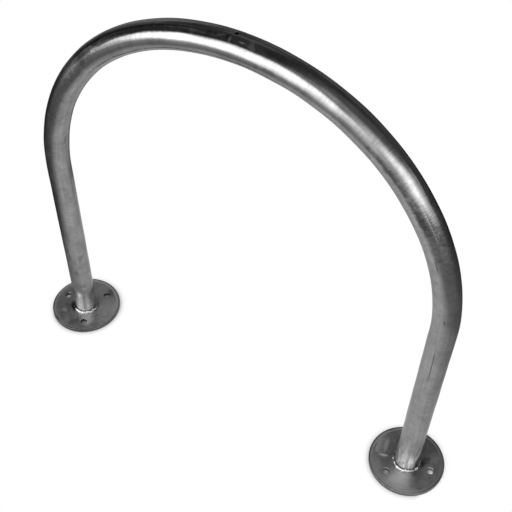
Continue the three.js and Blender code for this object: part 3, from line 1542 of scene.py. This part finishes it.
    def build_cards(self) -> None:
        """Stands dark cards round the back and sides."""
        points, faces = [], []
        for start, end, bottom, top in self.card_spans:
            count = round((end - start) / self.card_step)
            first = len(points)
            for i in range(count + 1):
                turn = math.radians(start + (end - start) * i / count)
                x, y = self.card_radius * math.cos(turn), self.card_radius * math.sin(turn)
                points += [(x, y, bottom), (x, y, top)]
            faces += [(i, i + 1, i + 3, i + 2) for i in range(first, first + 2 * count, 2)]
        cards = new_object("dark_cards", new_mesh("dark_cards", points, faces))
        self.show_to_metal(cards, self.card_material())

    def mat_material(self) -> Material:
        """Dark mat with a soft-edged opening round the rack, paler on the side of the main lamp.

        Returns:
            The material.
        """
        recipe = SurfaceRecipe("dark_mat")
        x, y, _ = recipe.parts(recipe.surface())
        far = distance(x - self.mat_middle[0], y - self.mat_middle[1])
        cover = far.fade(*self.mat_opening, y.fade(*self.mat_back, *self.mat_back_cover), 1.0)
        corner = (x + y).fade(*self.mat_slant, 1.0, self.mat_slant_least)
        in_front = y.fade(*self.mat_slant_front, 1.0, 0.0)
        behind, to_right = y.fade(*self.mat_slant_back), x.fade(*self.mat_slant_right)
        for closed in (in_front, behind, to_right):
            corner = corner.do("MAXIMUM", closed)
        cover = cover.do("MINIMUM", corner)
        near = self.tone_by_bearing(recipe, self.near_tones)
        beyond = self.tone_by_bearing(recipe, self.far_tones)
        outer = self.tone_by_bearing(recipe, self.outer_tones)
        outward = far.fade(*self.near_to_far)
        tone = near * (1.0 - outward) + beyond * outward
        tone = (outer * self.outer_gain - tone) * far.fade(*self.far_to_outer) + tone
        open_part = recipe.step("BsdfTransparent")
        glow = recipe.step("Emission", {"Color": recipe.grey(tone)})
        mixed = recipe.step("MixShader", {0: cover, 1: open_part, 2: glow})
        return recipe.finish(mixed, lights=False)

    def build_mat(self) -> None:
        """Lays the dark mat."""
        mat = level_sheet("dark_mat", self.card_radius, self.mat_rise)
        self.show_to_metal(mat, self.mat_material())

    def build_lamps(self) -> None:
        """Hangs the lamps: two low windows of light in front, and a broad one overhead for the floor."""
        MAIN_SOFTBOX.build()
        SIDE_SOFTBOX.build()
        overhead = new_lamp("overhead_softbox", self.overhead_size, self.overhead_size, self.overhead_power)
        overhead.location = (0, 0, self.overhead_height)
        overhead.visible_glossy = False

    def canopy_material(self) -> Material:
        """Dark cloth, white at its hem, with soft glows in it.

        Returns:
            The material.
        """
        recipe = SurfaceRecipe("dark_canopy")
        middle = (0.0, 0.0, self.canopy_middle)
        move = recipe.step("VectorMath", {0: recipe.surface(), 1: middle}, operation="SUBTRACT")
        place = recipe.step("VectorMath", {0: move}, operation="NORMALIZE")
        height = recipe.parts(place)[2]
        level = height.fade(math.sin(self.pale_below), math.sin(self.dark_above), 1.0, self.canopy_tone)
        for glow in self.glows:
            bearing, rise = math.radians(glow.azimuth), math.radians(glow.elevation)
            flat = math.cos(rise)
            towards = (flat * math.cos(bearing), flat * math.sin(bearing), math.sin(rise))
            near = recipe.step("VectorMath", {0: place, 1: towards}, "Value", operation="DOT_PRODUCT")
            edge, core = (math.cos(math.radians(angle)) for angle in (glow.outer, glow.inner))
            level = level.do("MAXIMUM", near.fade(edge, core, 0.0, glow.strength))
        return recipe.finish(recipe.step("Emission", {"Color": recipe.grey(level)}), lights=False)

    def build_canopy(self) -> None:
        """Hangs the dark canopy over the studio."""
        sides, levels, hem = self.canopy_sides, self.canopy_levels, self.canopy_hem
        points = []
        for level in range(levels):
            rise = hem + (math.pi / 2 - hem) * level / levels
            reach = self.canopy_radius * math.cos(rise)
            height = self.canopy_middle + self.canopy_radius * math.sin(rise)
            for i in range(sides):
                turn = FULL_TURN * i / sides
                points.append((reach * math.cos(turn), reach * math.sin(turn), height))
        faces = [*ring_faces(levels, sides, inward=True), tuple(range(len(points) - sides, len(points)))]
        canopy = new_object("dark_canopy", new_mesh("dark_canopy", points, faces))
        self.show_to_metal(canopy, self.canopy_material())

    def build_background(self) -> None:
        """Paints the background white, and plain grey for the light that it throws on things."""
        world = bpy.data.worlds.new("studio_background")
        bpy.context.scene.world = world
        world.use_nodes = True
        recipe = Recipe(world.node_tree)
        strength = self.seen_share(recipe).do("MAXIMUM", self.room_light)
        sky = recipe.step("Background", {"Color": (1.0, 1.0, 1.0, 1.0), "Strength": strength})
        recipe.node("OutputWorld", {"Surface": sky})

    def build(self) -> None:
        """Sets up the whole studio."""
        self.build_floor()
        self.build_cards()
        self.build_mat()
        self.build_canopy()
        self.build_lamps()
        self.build_background()
        bpy.context.scene.view_settings.view_transform = "Standard"


@dataclass(frozen=True)
class PortraitCamera:
    """The camera where the photographer stood, above the right foot and looking down at the hoop."""

    place: tuple[float, float, float] = (0.559161, -0.958147, 1.641062)
    yaw: float = math.radians(28.36137)
    pitch: float = math.radians(48.07539)
    roll: float = math.radians(1.56155)
    lens: float = 62.484
    sensor: float = 36.0

    def build(self) -> Thing:
        """Sets the camera up.

        Returns:
            The camera.
        """
        flat = math.cos(self.pitch)
        ahead = Vector((-math.sin(self.yaw) * flat, math.cos(self.yaw) * flat, -math.sin(self.pitch)))
        level = Vector((math.cos(self.yaw), math.sin(self.yaw), 0))
        upright = level.cross(ahead)
        right = math.cos(self.roll) * level + math.sin(self.roll) * upright
        up = math.cos(self.roll) * upright - math.sin(self.roll) * level
        data = bpy.data.cameras.new("portrait_camera")
        data.lens = self.lens
        data.sensor_width = self.sensor
        camera = new_object("portrait_camera", data)
        turned_to = Matrix((right, up, -ahead)).transposed().to_4x4()
        camera.matrix_world = Matrix.Translation(self.place) @ turned_to
        bpy.context.scene.camera = camera
        return camera


def report(thing: Thing) -> None:
    """Logs a finished piece."""
    LOG.info("%s: %d faces", thing.name, len(thing.data.polygons))


def main() -> None:
    """Builds the rack, piece by piece, and the studio round it."""
    logging.basicConfig(level=logging.INFO, format="%(name)s: %(message)s")
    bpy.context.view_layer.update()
    PortraitCamera().build()
    Studio().build()
    hoop = HoopPipe()
    pipe = hoop.build()
    hoop.dress(pipe)
    report(pipe)
    for side in Side:
        for sub_part in (FootPlate(side), FootWeld(side, hoop.radius)):
            piece = sub_part.build()
            sub_part.dress(piece)
            report(piece)


if __name__ == "__main__":
    main()
